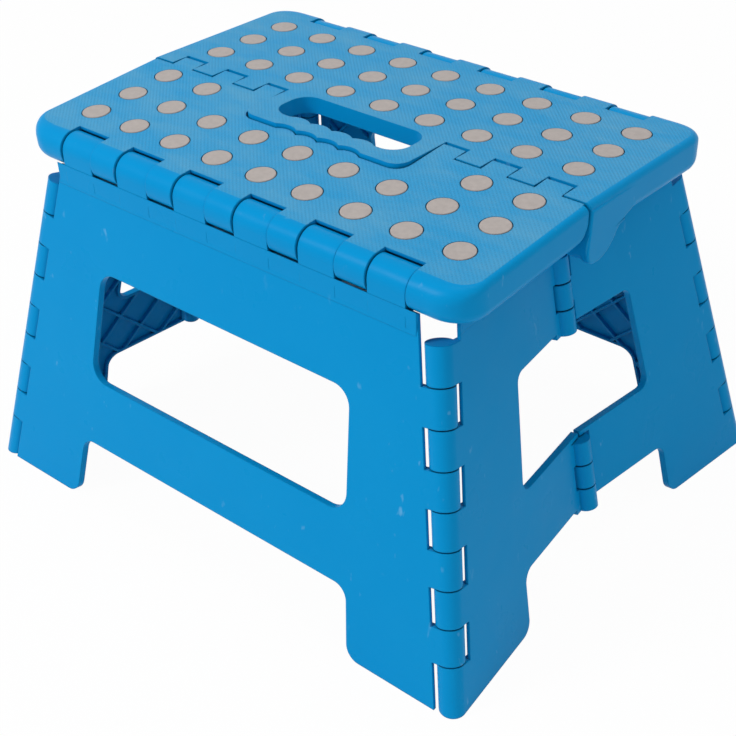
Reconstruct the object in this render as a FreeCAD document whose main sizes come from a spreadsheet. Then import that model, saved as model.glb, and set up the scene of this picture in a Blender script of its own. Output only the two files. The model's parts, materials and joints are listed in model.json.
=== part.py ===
import FreeCAD, Part
import math
import os

from FreeCAD import Placement, Rotation, Vector

# Folding step stool: two platform halves hinged along the middle, two legs hinged under their outer
# edges and four side halves that fold inwards between the legs. All sizes are millimetres.
# Frame: X along the platform, Y from front to rear, Z up, origin on the floor under the middle.

SIZES = [
    # platform
    ("stool_height", 217.0),        # floor to the ridge of the platform
    ("crown_angle", 2.0),           # each half falls away from the ridge by this angle
    ("platform_length", 300.0),
    ("half_width", 106.7),          # ridge pin to the outer edge, along a half
    ("platform_depth", 20.0),       # depth of the skirt
    ("platform_skin", 3.0),
    ("platform_wall", 4.0),         # skirt wall
    ("platform_corner", 19.0),      # corner radius seen from above
    ("platform_round", 9.4),        # rounding of the outer edge, above and below
    ("end_round_top", 3.5),         # rounding of the ends, above
    ("end_round_bottom", 6.0),      # rounding of the ends, below
    ("platform_rib_depth", 11.0),
    # grip pads
    ("pad_diameter", 15.6),
    ("pad_pitch_along", 31.0),
    ("pad_pitch_across", 27.0),
    ("pad_first_row", 21.0),        # ridge to the first row
    ("pad_recess", 1.2),
    ("pad_proud", 0.3),
    ("pad_gap", 0.35),
    # hinge along the ridge
    ("ridge_pin_drop", 22.0),       # platform surface to the pin
    ("ridge_barrel_radius", 8.0),
    ("ridge_lobe_radius", 11.5),
    ("ridge_lobe_proud", 0.8),
    ("ridge_lobe_fillet", 14.0),    # hollow between a lobe and the underside
    ("ridge_tab_start", 53.5),      # middle to the first tab
    ("ridge_wall_inset", 9.0),      # ridge to the inner wall of a half
    ("front_edge_inset", 8.4),
    ("front_tab_reach", 2.0),
    ("rear_notch_inset", 5.0),
    ("rear_tab_reach", 7.6),
    ("end_nose_radius", 18.0),
    # carrying handle
    ("handle_reach", 33.0),         # ridge to the front of the handle
    ("handle_half_length", 54.5),
    ("handle_depth", 9.5),
    ("handle_corner", 8.5),
    ("slot_half_length", 43.5),
    ("slot_rear", 6.0),
    ("slot_front", 22.0),
    ("slot_corner", 11.0),
    ("finger_pitch", 14.5),
    ("finger_rise", 2.4),
    ("handle_gap", 0.8),
    # hinges between platform and legs
    ("edge_pin_inset", 10.0),       # outer edge and surface of a half to the pin
    ("edge_knuckle_radius", 9.2),
    ("edge_knuckle_width", 22.4),
    ("edge_knuckle_pitch", 42.4),
    ("edge_slot_gap", 0.8),
    ("edge_slot_back", 5.7),        # pin to the back of a slot, at the surface
    ("edge_ramp", 20.0),            # pin to where a knuckle runs out on the leg's face
    # legs
    ("edge_pin_face", 5.1),         # outer face of a leg to the pin above it
    ("leg_top_gap", 0.4),
    ("leg_foot_reach", 144.6),      # middle to the foot's outer face on the floor
    ("panel_thickness", 4.0),
    ("panel_skin", 1.8),
    ("panel_rim", 2.0),
    ("rib_width", 1.8),
    ("rib_pitch", 21.0),
    ("leg_window_top", 147.5),
    ("leg_window_bottom", 80.5),
    ("leg_window_half_top", 89.0),
    ("leg_window_half_bottom", 95.0),
    ("leg_window_round", 11.0),
    ("leg_arch_top", 40.0),
    ("leg_arch_half_top", 100.0),
    ("leg_arch_half_bottom", 105.5),
    ("leg_arch_round", 9.0),
    # corner hinges
    ("corner_reach", 169.0),        # middle to the corner pin at the floor
    ("corner_lean", 11.31),         # lean of the corner pin, in the plane of the leg
    ("corner_radius", 7.0),
    ("corner_edge", 6.5),           # corner pin to the edge of a panel's skin
    ("edge_set_back", 7.0),         # edge of the skin to the ribbed part of a panel
    ("web_margin", 0.8),            # bore to the web of a middle knuckle
    ("corner_first", 27.5),         # floor to the first knuckle joint, along the pin
    ("corner_knuckle", 20.4),
    ("axial_gap", 0.35),
    # side halves
    ("side_top", 187.0),
    ("side_window_top", 142.0),
    ("side_window_bottom", 78.0),
    ("side_window_inset_top", 90.0),
    ("side_window_inset_bottom", 79.5),
    ("side_window_round", 6.0),
    ("side_arch_top", 35.0),
    ("side_arch_inset_top", 70.5),
    ("side_arch_inset_bottom", 67.0),
    ("side_arch_round", 8.0),
    # hinges between the side halves
    ("middle_reach", 161.0),        # middle to the side's middle pin at the floor
    ("middle_proud", 2.2),          # side face to the middle pin
    ("middle_radius", 6.0),
    ("middle_gap", 2.3),
    ("middle_seam", 1.4),           # gap between the two side halves beside a hinge
    ("middle_knuckle", 14.6),
    ("middle_axial_gap", 0.9),
    ("middle_upper", 160.0),        # height of the upper hinge, along the side
    ("middle_lower", 53.0),
    ("middle_play", 2.1),           # clearance of the lower pin in the rear barrel
    # steel pins
    ("pin_radius", 2.5),
    ("small_pin_radius", 1.6),
    ("pin_clearance", 0.05),
    ("pin_end_wall", 2.5),
]

doc = FreeCAD.newDocument("step_stool")
sheet = doc.addObject("Spreadsheet::Sheet", "Sizes")
for row, (alias, number) in enumerate(SIZES, start=1):
    sheet.set("A%d" % row, alias)
    sheet.set("B%d" % row, str(number))
    sheet.setAlias("B%d" % row, alias)
doc.recompute()


def size(alias):
    return float(sheet.get(alias))


def bind(obj, **expressions):
    """Tie properties of an object to cells of the sheet."""
    for prop, text in expressions.items():
        obj.setExpression(prop, text)


def cell(alias):
    return "Sizes." + alias


def add(kind, name):
    return doc.addObject(kind, name)


def cylinder(name, radius, start, end):
    """Cylinder between two points, its radius tied to a formula of the sheet."""
    axis = end - start
    obj = add("Part::Cylinder", name)
    obj.Height = axis.Length
    obj.Placement = Placement(start, Rotation(Vector(0, 0, 1), axis))
    bind(obj, Radius=radius)
    return obj


def block(name, low, high, placement=None):
    """Box between two corners of a local frame."""
    obj = add("Part::Box", name)
    obj.Length, obj.Width, obj.Height = high - low
    obj.Placement = (placement or Placement()) * Placement(low, Rotation())
    return obj


def fuse(name, objects):
    if len(objects) == 1:
        return objects[0]
    obj = add("Part::MultiFuse", name)
    obj.Shapes = objects
    obj.Refine = True
    return obj


def cut(name, base, tool):
    obj = add("Part::Cut", name)
    obj.Base, obj.Tool = base, tool
    obj.Refine = True
    return obj


def common(name, objects):
    obj = add("Part::MultiCommon", name)
    obj.Shapes = objects
    obj.Refine = True
    return obj


def plate(name, corners, depth, rounds=None, lift="0"):
    """Plate under an outline whose corner coordinates are formulas of the sheet.

    The plate hangs below the outline by the depth. The corners listed in rounds get a radius.
    """
    sketch = add("Sketcher::SketchObject", name + "_outline")
    count = len(corners)
    points = [Vector(10.0 * math.cos(2 * math.pi * i / count), 10.0 * math.sin(2 * math.pi * i / count), 0)
              for i in range(count)]
    import Sketcher
    for i in range(count):
        sketch.addGeometry(Part.LineSegment(points[i], points[(i + 1) % count]), False)
    for i in range(count):
        sketch.addConstraint(Sketcher.Constraint("Coincident", i, 2, (i + 1) % count, 1))
    for i, corner in enumerate(corners):
        for label, text in zip(("DistanceX", "DistanceY"), corner):
            index = sketch.addConstraint(Sketcher.Constraint(label, -1, 1, i, 1, 1.0))
            sketch.setExpression("Constraints[%d]" % index, text)
    sketch.setExpression("Placement.Base.z", lift)
    solid = add("Part::Extrusion", name + "_plate")
    solid.Base = sketch
    solid.DirMode = "Custom"
    solid.Dir = Vector(0, 0, -1)
    solid.Solid = True
    bind(solid, LengthFwd=depth)
    doc.recompute()
    if not rounds:
        return solid
    edges = []
    for i, alias in rounds.items():
        corner = sketch.Geometry[i].StartPoint
        for number, edge in enumerate(solid.Shape.Edges, start=1):
            a, b = edge.firstVertex().Point, edge.lastVertex().Point
            upright = abs(a.z - b.z) > 1e-6
            if upright and math.hypot(a.x - corner.x, a.y - corner.y) < 1e-4:
                edges.append((number, size(alias), size(alias)))
    rounded = add("Part::Fillet", name)
    rounded.Base = solid
    rounded.Edges = edges
    doc.recompute()
    return rounded


def cavity_of(name, panel, top, wall, depth):
    """Hollow under the skin of a plate: its lower face, drawn in by the wall, up to the given level."""
    lowest = min(panel.Shape.Faces, key=lambda face: face.CenterOfMass.z)
    inner = lowest.makeOffset2D(-wall, join=2)
    obj = add("Part::Feature", name)
    obj.Shape = inner.extrude(Vector(0, 0, depth - top))
    return obj


def lattice(name, low, high, depth, top):
    """Crossing diagonal ribs over a rectangle, hanging below the given level."""
    centre = (low + high) * 0.5
    reach = (high - low).Length
    pitch = size("rib_pitch")
    count = int(reach / pitch / 2) + 1
    ribs = []
    for turn in (45, -45):
        for i in range(-count, count + 1):
            rib = add("Part::Box", "%s_rib" % name)
            rib.Length = reach
            rib.Height = depth
            bind(rib, Width=cell("rib_width"))
            place = Placement(Vector(centre.x, centre.y, top - depth), Rotation(Vector(0, 0, 1), turn))
            shift = Vector(-reach / 2, i * pitch - size("rib_width") / 2, 0)
            rib.Placement = place * Placement(shift, Rotation())
            ribs.append(rib)
    one_way, other_way = ribs[:len(ribs) // 2], ribs[len(ribs) // 2:]
    return one_way, other_way


# Working frames, all worked out from the sizes.

def ridge_frame(front):
    """Frame of a platform half, which tips about the ridge pin.

    Its origin is on the surface above the pin, with Y outwards along the surface and Z off it.
    """
    tilt = Rotation(Vector(1, 0, 0), -size("crown_angle"))
    turn = Rotation(Vector(0, 0, 1), 180 if front else 0)
    drop = Vector(0, 0, size("ridge_pin_drop"))
    return Placement(Vector(0, 0, size("stool_height")) - drop, turn * tilt) * Placement(drop, Rotation())


FRONT_HALF = ridge_frame(True)
REAR_HALF = ridge_frame(False)
PIN_Y = size("half_width") - size("edge_pin_inset")
EDGE_PIN = Vector(0, PIN_Y, -size("edge_pin_inset"))
RIDGE_PIN = Vector(0, 0, -size("ridge_pin_drop"))
# The surface of a tipped half lies this far outwards of where it would lie flat.
SHIFT = size("ridge_pin_drop") * math.sin(math.radians(size("crown_angle")))
SHIFT_TEXT = "Sizes.ridge_pin_drop * sin(Sizes.crown_angle * 1 deg)"


def leg_tilt():
    """Lean of a leg whose foot and upper pin are given, in degrees from upright."""
    pin = REAR_HALF.multVec(EDGE_PIN)
    out, up = size("leg_foot_reach") - pin.y, pin.z
    return math.degrees(math.atan2(out, up) - math.asin(size("edge_pin_face") / math.hypot(out, up)))


LEG = Placement(Vector(0, -size("leg_foot_reach"), 0), Rotation(Vector(1, 0, 0), 90 - leg_tilt()))
LEG_EDGE_PIN = LEG.inverse().multVec(FRONT_HALF.multVec(EDGE_PIN))

# Corner pin of the front right corner. It meets the stool's middle plane at the fold's apex,
# where every fold line of that end of the stool comes together.
LEAN = math.radians(size("corner_lean"))
CORNER_FOOT = LEG.multVec(Vector(size("corner_reach"), 0, -size("corner_radius")))
CORNER_WAY = LEG.Rotation.multVec(Vector(-math.sin(LEAN), math.cos(LEAN), 0))
APEX = CORNER_FOOT - CORNER_WAY * (CORNER_FOOT.y / CORNER_WAY.y)
MIDDLE_FOOT = Vector(size("middle_reach"), 0, 0)
MIDDLE_WAY = (APEX - MIDDLE_FOOT).normalize()


def side_frame():
    """Frame of the front right side half: on its outer face, X to the middle, Y up, Z outwards."""
    reach = MIDDLE_FOOT + MIDDLE_WAY * size("side_window_bottom") - CORNER_FOOT
    flat = reach - CORNER_WAY * reach.dot(CORNER_WAY)
    across = flat.normalize()
    outwards = across.cross(CORNER_WAY)
    if outwards.x < 0:
        outwards = outwards * -1
    drop = math.asin((size("corner_radius") + size("middle_proud")) / reach.Length)
    normal = outwards * math.cos(drop) + across * math.sin(drop)
    level = Vector(0, 0, 1).cross(normal).normalize()
    if level.y < 0:
        level = level * -1
    upwards = normal.cross(level)
    origin = CORNER_FOOT + normal * size("corner_radius")
    origin = origin - CORNER_WAY * (origin.z / CORNER_WAY.z)
    return Placement(origin, Rotation(level, upwards, normal, "ZXY"))


SIDE = side_frame()
SIDE_CORNER_WAY = SIDE.Rotation.inverted().multVec(CORNER_WAY)
SIDE_MIDDLE_FOOT = SIDE.inverse().multVec(MIDDLE_FOOT)
SIDE_MIDDLE_WAY = SIDE.Rotation.inverted().multVec(MIDDLE_WAY)
HALF_TURN = Placement(Vector(), Rotation(Vector(0, 0, 1), 180))


def corner_point(along, frame):
    """Point of the front right corner pin, by its distance from the floor along the pin."""
    return frame.inverse().multVec(CORNER_FOOT + CORNER_WAY * along)


def corner_joint(index):
    """Joint between two knuckles of a corner, counted upwards, as a distance along the pin."""
    return size("corner_first") + index * size("corner_knuckle")


def middle_point(height):
    """Point of the middle pin of a side half, at a height of the side's own frame."""
    return SIDE_MIDDLE_FOOT + SIDE_MIDDLE_WAY * ((height - SIDE_MIDDLE_FOOT.y) / SIDE_MIDDLE_WAY.y)


def finish(name, obj, placement):
    """Put a finished shape in the stool's frame as a sub-part of its own."""
    part = add("Part::Feature", name)
    doc.recompute()
    part.Label = name
    part.Shape = obj.Shape.copy()
    part.Placement = placement * obj.Placement
    return part


PARTS = []


def keep(name, obj, placement):
    PARTS.append(finish(name, obj, placement))
    return PARTS[-1]


# Panels: an outer skin with a rim and crossing ribs inside.

def ribbed(name, panel, low, high):
    """Hollow a panel behind its skin and stiffen it with diagonal ribs."""
    skin, full = size("panel_skin"), size("panel_thickness")
    cavity = cavity_of(name + "_cavity", panel, skin, size("panel_rim"), full)
    tray = cut(name + "_tray", panel, cavity)
    ribs = []
    for i, way in enumerate(lattice(name, low, high, full - skin, -skin)):
        ribs.append(common("%s_ribs_%d" % (name, i), [fuse("%s_lattice_%d" % (name, i), way), cavity]))
    return fuse(name + "_panel", [tray] + ribs)


def leg_edge(height, sign, inset):
    """Formula for a line of a leg beside its corner hinge, drawn in from the pin."""
    return "%s(Sizes.corner_reach - (%s) * tan(Sizes.corner_lean * 1 deg)" % (sign, height) + \
        " - (%s) / cos(Sizes.corner_lean * 1 deg))" % inset


SKIN_EDGE = "Sizes.corner_edge"
RIM_EDGE = "Sizes.corner_edge + Sizes.edge_set_back"


def leg_plate(name, inset, depth):
    """Plate of a leg between its corner hinges, with its window and the arch between its feet."""
    top = "%.4f - Sizes.edge_pin_inset + Sizes.leg_top_gap" % LEG_EDGE_PIN.y
    arch_in, arch_out = cell("leg_arch_half_top"), cell("leg_arch_half_bottom")
    outline = [
        (leg_edge("0", "-", inset), "0"), ("-" + arch_out, "0"),
        ("-" + arch_in, cell("leg_arch_top")), (arch_in, cell("leg_arch_top")),
        (arch_out, "0"), (leg_edge("0", "", inset), "0"),
        (leg_edge(top, "", inset), top), (leg_edge(top, "-", inset), top),
    ]
    arch = "leg_arch_round"
    panel = plate(name, outline, depth, {1: arch, 2: arch, 3: arch, 4: arch})
    window_corners = [
        ("-" + cell("leg_window_half_bottom"), cell("leg_window_bottom")),
        (cell("leg_window_half_bottom"), cell("leg_window_bottom")),
        (cell("leg_window_half_top"), cell("leg_window_top")),
        ("-" + cell("leg_window_half_top"), cell("leg_window_top")),
    ]
    rounds = dict.fromkeys(range(4), "leg_window_round")
    window = plate(name + "_window", window_corners, depth, rounds)
    opened = cut(name + "_open", panel, window)
    doc.recompute()
    return opened


def make_leg():
    skin = leg_plate("leg_skin", SKIN_EDGE, cell("panel_skin"))
    panel = leg_plate("leg", RIM_EDGE, cell("panel_thickness"))
    reach = size("corner_reach")
    pieces = [skin, ribbed("leg", panel, Vector(-reach, 0, 0), Vector(reach, LEG_EDGE_PIN.y, 0))]
    bores = []
    for sign in (1, -1):
        for joint in range(0, 8, 2):
            pieces += corner_knuckle("leg", LEG, sign, joint, joint + 1, -1)
        bores.append(corner_bore("leg", LEG, sign))
    pieces = [cut("leg_cleared", fuse("leg_plates", pieces), fuse("leg_clearances", edge_clearances()))]
    pieces += edge_knuckles()
    bores.append(cylinder("leg_edge_bore", "Sizes.pin_radius + Sizes.pin_clearance",
                          LEG_EDGE_PIN - Vector(reach, 0, 0), LEG_EDGE_PIN + Vector(reach, 0, 0)))
    bores.append(floor_cut("leg_floor", LEG))
    return cut("leg_done", fuse("leg_solid", pieces), fuse("leg_bores", bores))


def floor_cut(name, frame):
    """Everything below the floor, in the frame of a panel."""
    big = 2 * size("platform_length")
    return block(name, Vector(-big, -big, -big), Vector(big, big, 0), frame.inverse())


def mirrored(point, sign):
    return Vector(sign * point.x, point.y, point.z)


def corner_knuckle(name, frame, sign, low, high, inwards):
    """Barrel on the corner pin between two joints, with the web that joins it to its panel.

    inwards is the direction of the panel from the pin, along X of the frame.
    """
    gap = size("axial_gap")
    start, end = corner_joint(low) + gap, corner_joint(high) - gap
    foot, head = corner_point(start, frame), corner_point(end, frame)
    barrel = cylinder(name + "_barrel", cell("corner_radius"), mirrored(foot, sign), mirrored(head, sign))
    return [barrel, corner_web(name, sign, foot, head, inwards)]


def web_between(name, foot, head, aside, start, end, depth, sign=1):
    """Flat web flush with a panel's outer face, along a barrel from foot to head.

    It reaches aside from the barrel's pin, from inside the barrel to under the panel.
    """
    ring = [foot + aside * start, head + aside * start, head + aside * end, foot + aside * end]
    ring = [mirrored(Vector(p.x, p.y, 0), sign) for p in ring]
    web = add("Part::Feature", name + "_web")
    web.Shape = Part.Face(Part.makePolygon(ring + ring[:1])).extrude(Vector(0, 0, -depth))
    return web


def corner_web(name, sign, foot, head, inwards):
    way = (head - foot).normalize()
    end = size("corner_edge") + size("edge_set_back") + size("panel_rim")
    return web_between(name, foot, head, Vector(way.y, -way.x, 0) * inwards, 0, end,
                       size("panel_thickness"), sign)


def corner_top():
    """Upper end of a corner bore, under the closed top of the highest knuckle."""
    return corner_joint(8) - size("axial_gap") - size("pin_end_wall")


def corner_bore(name, frame, sign):
    low = mirrored(corner_point(size("pin_end_wall"), frame), sign)
    high = mirrored(corner_point(corner_top(), frame), sign)
    return cylinder(name + "_corner_bore", "Sizes.pin_radius + Sizes.pin_clearance", low, high)


def edge_places():
    """Middles of the leg's knuckles along the platform's edge."""
    pitch = size("edge_knuckle_pitch")
    return [(i - 2.5) * pitch for i in range(6)]


def edge_clearances():
    """Round hollows in a leg's upper edge for the platform's rounded edge to turn in."""
    reach = Vector(size("corner_reach"), 0, 0)
    swing = "Sizes.edge_pin_inset * sqrt(2) - Sizes.platform_round * (sqrt(2) - 1) + Sizes.leg_top_gap"
    return [cylinder("leg_edge_clearance", swing, LEG_EDGE_PIN - reach, LEG_EDGE_PIN + reach)]


def edge_knuckles():
    """The leg's knuckles under the platform's edge."""
    half = size("edge_knuckle_width") / 2
    pieces = []
    for x in edge_places():
        middle = LEG_EDGE_PIN + Vector(x, 0, 0)
        shift = Vector(half, 0, 0)
        pieces.append(cylinder("leg_edge_barrel", cell("edge_knuckle_radius"), middle - shift, middle + shift))
        low = Vector(x - half, LEG_EDGE_PIN.y - size("edge_pin_inset") - 4 * size("panel_rim"),
                     -size("panel_thickness"))
        pieces.append(block("leg_edge_web", low, Vector(x + half, LEG_EDGE_PIN.y, 0)))
        pieces.append(edge_ramp(x - half, x + half))
    return pieces


def edge_ramp(low_x, high_x):
    """Slope from a knuckle's round front down to the leg's face, which it leaves as a tangent."""
    radius, run = size("edge_knuckle_radius"), size("edge_ramp")
    out, away = LEG_EDGE_PIN.z, math.hypot(size("edge_ramp"), LEG_EDGE_PIN.z)
    turn = math.atan2(-out, -run) - math.acos(radius / away)
    touch = Vector(low_x, radius * math.cos(turn), radius * math.sin(turn))
    centre = Vector(low_x, LEG_EDGE_PIN.y, out)
    foot = Vector(low_x, LEG_EDGE_PIN.y - run, 0)
    ring = [centre, Vector(low_x, centre.y + touch.y, centre.z + touch.z), foot,
            foot - Vector(0, 0, size("panel_skin"))]
    ramp = add("Part::Feature", "leg_edge_ramp")
    ramp.Shape = Part.Face(Part.makePolygon(ring + ring[:1])).extrude(Vector(high_x - low_x, 0, 0))
    return ramp


# Side halves. The pair of barrels and the single barrel of the middle hinges differ, the rest is alike.

def side_edge(height, inset):
    """Formula for a line of a side half beside its corner hinge, drawn in from the pin."""
    lean = math.atan2(SIDE_CORNER_WAY.x, SIDE_CORNER_WAY.y)
    return "(%s) * %.6f + (%s) / %.6f" % (height, math.tan(lean), inset, math.cos(lean))


def side_middle_edge(height):
    """Formula for the edge of a side half beside its middle hinges."""
    slope = SIDE_MIDDLE_WAY.x / SIDE_MIDDLE_WAY.y
    foot = middle_point(0).x
    return "%.4f + (%s) * %.6f - Sizes.middle_seam / 2" % (foot, height, slope)


def hinge_bay(name, height, top):
    """Opening in the edge of a side half, in which a middle hinge turns, up to the given height."""
    half = 1.5 * size("middle_knuckle") + size("axial_gap")
    foot, head = middle_point(height - half), middle_point(max(height + half, top))
    aside = Vector(-SIDE_MIDDLE_WAY.y, SIDE_MIDDLE_WAY.x, 0)
    reach = size("middle_radius") + size("middle_gap")
    return web_between(name + "_bay", foot, head, aside, -reach, reach, 2 * size("panel_thickness"))


def side_plate(name, inset, depth):
    """Plate of a side half: a C round the window, standing on its foot."""
    arch, sill, head, top = (cell(a) for a in ("side_arch_top", "side_window_bottom",
                                                "side_window_top", "side_top"))
    outline = [
        (side_edge("0", inset), "0"), (cell("side_arch_inset_bottom"), "0"), (cell("side_arch_inset_top"), arch),
        (side_middle_edge(arch), arch), (side_middle_edge(sill), sill),
        (cell("side_window_inset_bottom"), sill), (cell("side_window_inset_top"), head),
        (side_middle_edge(head), head), (side_middle_edge(top), top), (side_edge(top, inset), top),
    ]
    rounds = {1: "side_arch_round", 2: "side_arch_round", 5: "side_window_round", 6: "side_window_round"}
    panel = plate(name, outline, depth, rounds)
    bays = [hinge_bay(name, size("middle_upper"), size("side_top") + 1), hinge_bay(name, size("middle_lower"), 0)]
    opened = cut(name + "_open", panel, fuse(name + "_bays", bays))
    doc.recompute()
    return opened


def make_side(name, double):
    skin = side_plate(name + "_skin", SKIN_EDGE, cell("panel_skin"))
    panel = side_plate(name, RIM_EDGE, cell("panel_thickness"))
    pieces = [skin, ribbed(name, panel, Vector(), Vector(size("middle_reach"), size("side_top"), 0))]
    for joint in range(1, 8, 2):
        pieces += corner_knuckle(name, SIDE, 1, joint, joint + 1, 1)
    pieces += toe_knuckle(name)
    bores = [corner_bore(name, SIDE, 1)]
    for alias in ("middle_upper", "middle_lower"):
        spots = (-1, 1) if double else (0,)
        for spot in spots:
            pieces += middle_knuckle(name, size(alias) + spot * size("middle_knuckle"))
        play = "Sizes.pin_clearance" if double or alias == "middle_upper" else "Sizes.middle_play"
        half = 1.5 * size("middle_knuckle")
        bores.append(cylinder(name + "_middle_bore", "Sizes.small_pin_radius + " + play,
                              middle_point(size(alias) - half + size("pin_end_wall")),
                              middle_point(size(alias) + half - size("pin_end_wall"))))
    bores.append(floor_cut(name + "_floor", SIDE))
    return cut(name + "_done", fuse(name + "_solid", pieces), fuse(name + "_bores", bores))


def toe_knuckle(name):
    """The lowest knuckle of a side half, down to the floor."""
    gap = size("axial_gap")
    foot, head = corner_point(-size("corner_radius"), SIDE), corner_point(corner_joint(0) - gap, SIDE)
    barrel = cylinder(name + "_toe", cell("corner_radius"), foot, head)
    return [barrel, corner_web(name + "_toe", 1, foot, head, 1)]


def middle_knuckle(name, height):
    """Barrel on the middle pin, with the web that joins it to the panel."""
    half = size("middle_knuckle") / 2 - size("middle_axial_gap") / 2
    centre = middle_point(height)
    foot, head = centre - SIDE_MIDDLE_WAY * half, centre + SIDE_MIDDLE_WAY * half
    barrel = cylinder(name + "_middle_barrel", cell("middle_radius"), foot, head)
    aside = Vector(-SIDE_MIDDLE_WAY.y, SIDE_MIDDLE_WAY.x, 0)
    start = size("small_pin_radius") + size("middle_play") + size("web_margin")
    end = size("middle_radius") + size("middle_gap") + size("panel_rim")
    web = web_between(name + "_middle", foot, head, aside, start, end, size("panel_skin") + size("panel_rim"))
    return [barrel, web]


# Platform halves.

def tab_span(index):
    """Start and end of a tab of the ridge hinge, counted outwards from the handle."""
    width = (size("platform_length") / 2 - size("ridge_tab_start")) / 6
    start = size("ridge_tab_start") + index * width
    return start, start + width


def edge_rounds(edge, end_round):
    """Rounding at the two ends of an edge: that of the ends along them, growing round the corners."""
    front = size("half_width") - 1e-6
    for place in (edge.FirstParameter, edge.LastParameter):
        yield size("platform_round" if edge.valueAt(place).y > front else end_round)


def platform_blank(name):
    """Rounded, skirted half of the platform with its hollow and ribs underneath."""
    half = "Sizes.platform_length / 2"
    inner, outer = cell("ridge_wall_inset"), cell("half_width")
    outline = [("-(%s)" % half, inner), (half, inner), (half, outer), ("-(%s)" % half, outer)]
    blank = plate(name + "_blank", outline, cell("platform_depth"), {2: "platform_corner", 3: "platform_corner"})
    rim = []
    for number, edge in enumerate(blank.Shape.Edges, start=1):
        box = edge.BoundBox
        level = box.ZLength < 1e-6
        beside_ridge = box.YMax < size("ridge_wall_inset") + 1e-6
        if level and not beside_ridge:
            end_round = "end_round_top" if box.ZMax > -1e-6 else "end_round_bottom"
            rim.append((number,) + tuple(edge_rounds(edge, end_round)))
    rounded = add("Part::Fillet", name + "_rounded")
    rounded.Base = blank
    rounded.Edges = rim
    wall = size("platform_wall")
    low = Vector(-size("platform_length") / 2 + wall, size("ridge_wall_inset") + 2.6, -size("platform_depth"))
    outer_wall = PIN_Y - size("edge_pin_inset") - size("platform_wall")
    high = Vector(size("platform_length") / 2 - wall, outer_wall, -size("platform_skin"))
    hollow = block(name + "_hollow", low, high)
    bind(hollow, Height="Sizes.platform_depth - Sizes.platform_skin")
    shell = cut(name + "_shell", rounded, hollow)
    ribs = []
    depth = size("platform_rib_depth") - size("platform_skin")
    for i, way in enumerate(lattice(name, low, high, depth, -size("platform_skin"))):
        ribs.append(common("%s_ribs_%d" % (name, i), [fuse("%s_lattice_%d" % (name, i), way), hollow]))
    return [shell] + ribs


def pad_places(front):
    """Middles of the grip pads of a half, on its surface."""
    places = []
    for row in range(3):
        y = size("pad_first_row") - SHIFT + row * size("pad_pitch_across")
        for column in range(-4, 5):
            x = column * size("pad_pitch_along")
            beside_handle = abs(x) < size("handle_half_length") + size("pad_diameter")
            if not (front and row == 0 and beside_handle):
                places.append(Vector(x, y, 0))
    return places


def ridge_tabs(name, own, reach):
    """Tabs of the ridge hinge that belong to one half, with their barrels round the pin."""
    pieces = []
    gap = size("handle_gap") / 2
    for index in own:
        start, end = tab_span(index)
        last = index == 5
        end = size("platform_length") / 2 if last else end - gap
        for sign in (1, -1):
            low_x, high_x = sorted((sign * (start + gap), sign * end))
            low = Vector(low_x, -reach - SHIFT, -size("ridge_pin_drop"))
            tab = block(name + "_tab", low, Vector(high_x, size("ridge_wall_inset") + 1, 0))
            pieces.append(round_end(name, tab, sign * end) if last else tab)
            proud = size("ridge_lobe_proud") * sign if last else 0
            a, b = Vector(sign * (start + gap), 0, 0), Vector(sign * end + proud, 0, 0)
            radius = cell("ridge_lobe_radius") if last else cell("ridge_barrel_radius")
            barrel = cylinder(name + "_ridge_barrel", radius, a + RIDGE_PIN, b + RIDGE_PIN)
            pieces.append(lobe(name, barrel, a + RIDGE_PIN, b + RIDGE_PIN) if last else barrel)
    return pieces


def lobe(name, barrel, start, end):
    """Lobe at the end of the ridge hinge: a barrel that runs into the underside in a hollow curve."""
    radius, hollow = size("ridge_lobe_radius"), size("ridge_lobe_fillet")
    under = -size("platform_depth")
    rise = start.z - under + hollow
    away = math.sqrt((radius + hollow) ** 2 - rise ** 2)
    shift = end - start
    ring = [start, Vector(start.x, away, under + 1), Vector(start.x, away, under - hollow)]
    gusset = add("Part::Feature", name + "_gusset")
    gusset.Shape = Part.Face(Part.makePolygon(ring + ring[:1])).extrude(shift)
    centre = Vector(start.x, away, under - hollow)
    scoop = cylinder(name + "_scoop", cell("ridge_lobe_fillet"), centre - shift, centre + shift * 2)
    return fuse(name + "_lobe_solid", [barrel, cut(name + "_gusset_cut", gusset, scoop)])


def round_end(name, tab, x):
    """Round the upper edge of a tab where it ends the platform."""
    doc.recompute()
    edges = []
    for number, edge in enumerate(tab.Shape.Edges, start=1):
        box = edge.BoundBox
        if box.XLength < 1e-6 and box.ZLength < 1e-6 and abs(box.XMin - x) < 1e-6 and abs(box.ZMax) < 1e-6:
            edges.append((number, size("end_round_top"), size("end_round_top")))
    rounded = add("Part::Fillet", name + "_end_tab")
    rounded.Base = tab
    rounded.Edges = edges
    return rounded


def ridge_bores(name):
    bores = []
    end = size("platform_length") / 2 - size("pin_end_wall")
    for sign in (1, -1):
        a = Vector(sign * size("ridge_tab_start"), 0, 0)
        bores.append(cylinder(name + "_ridge_bore", "Sizes.pin_radius + Sizes.pin_clearance",
                              a + RIDGE_PIN, Vector(sign * end, 0, 0) + RIDGE_PIN))
    return bores


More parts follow.
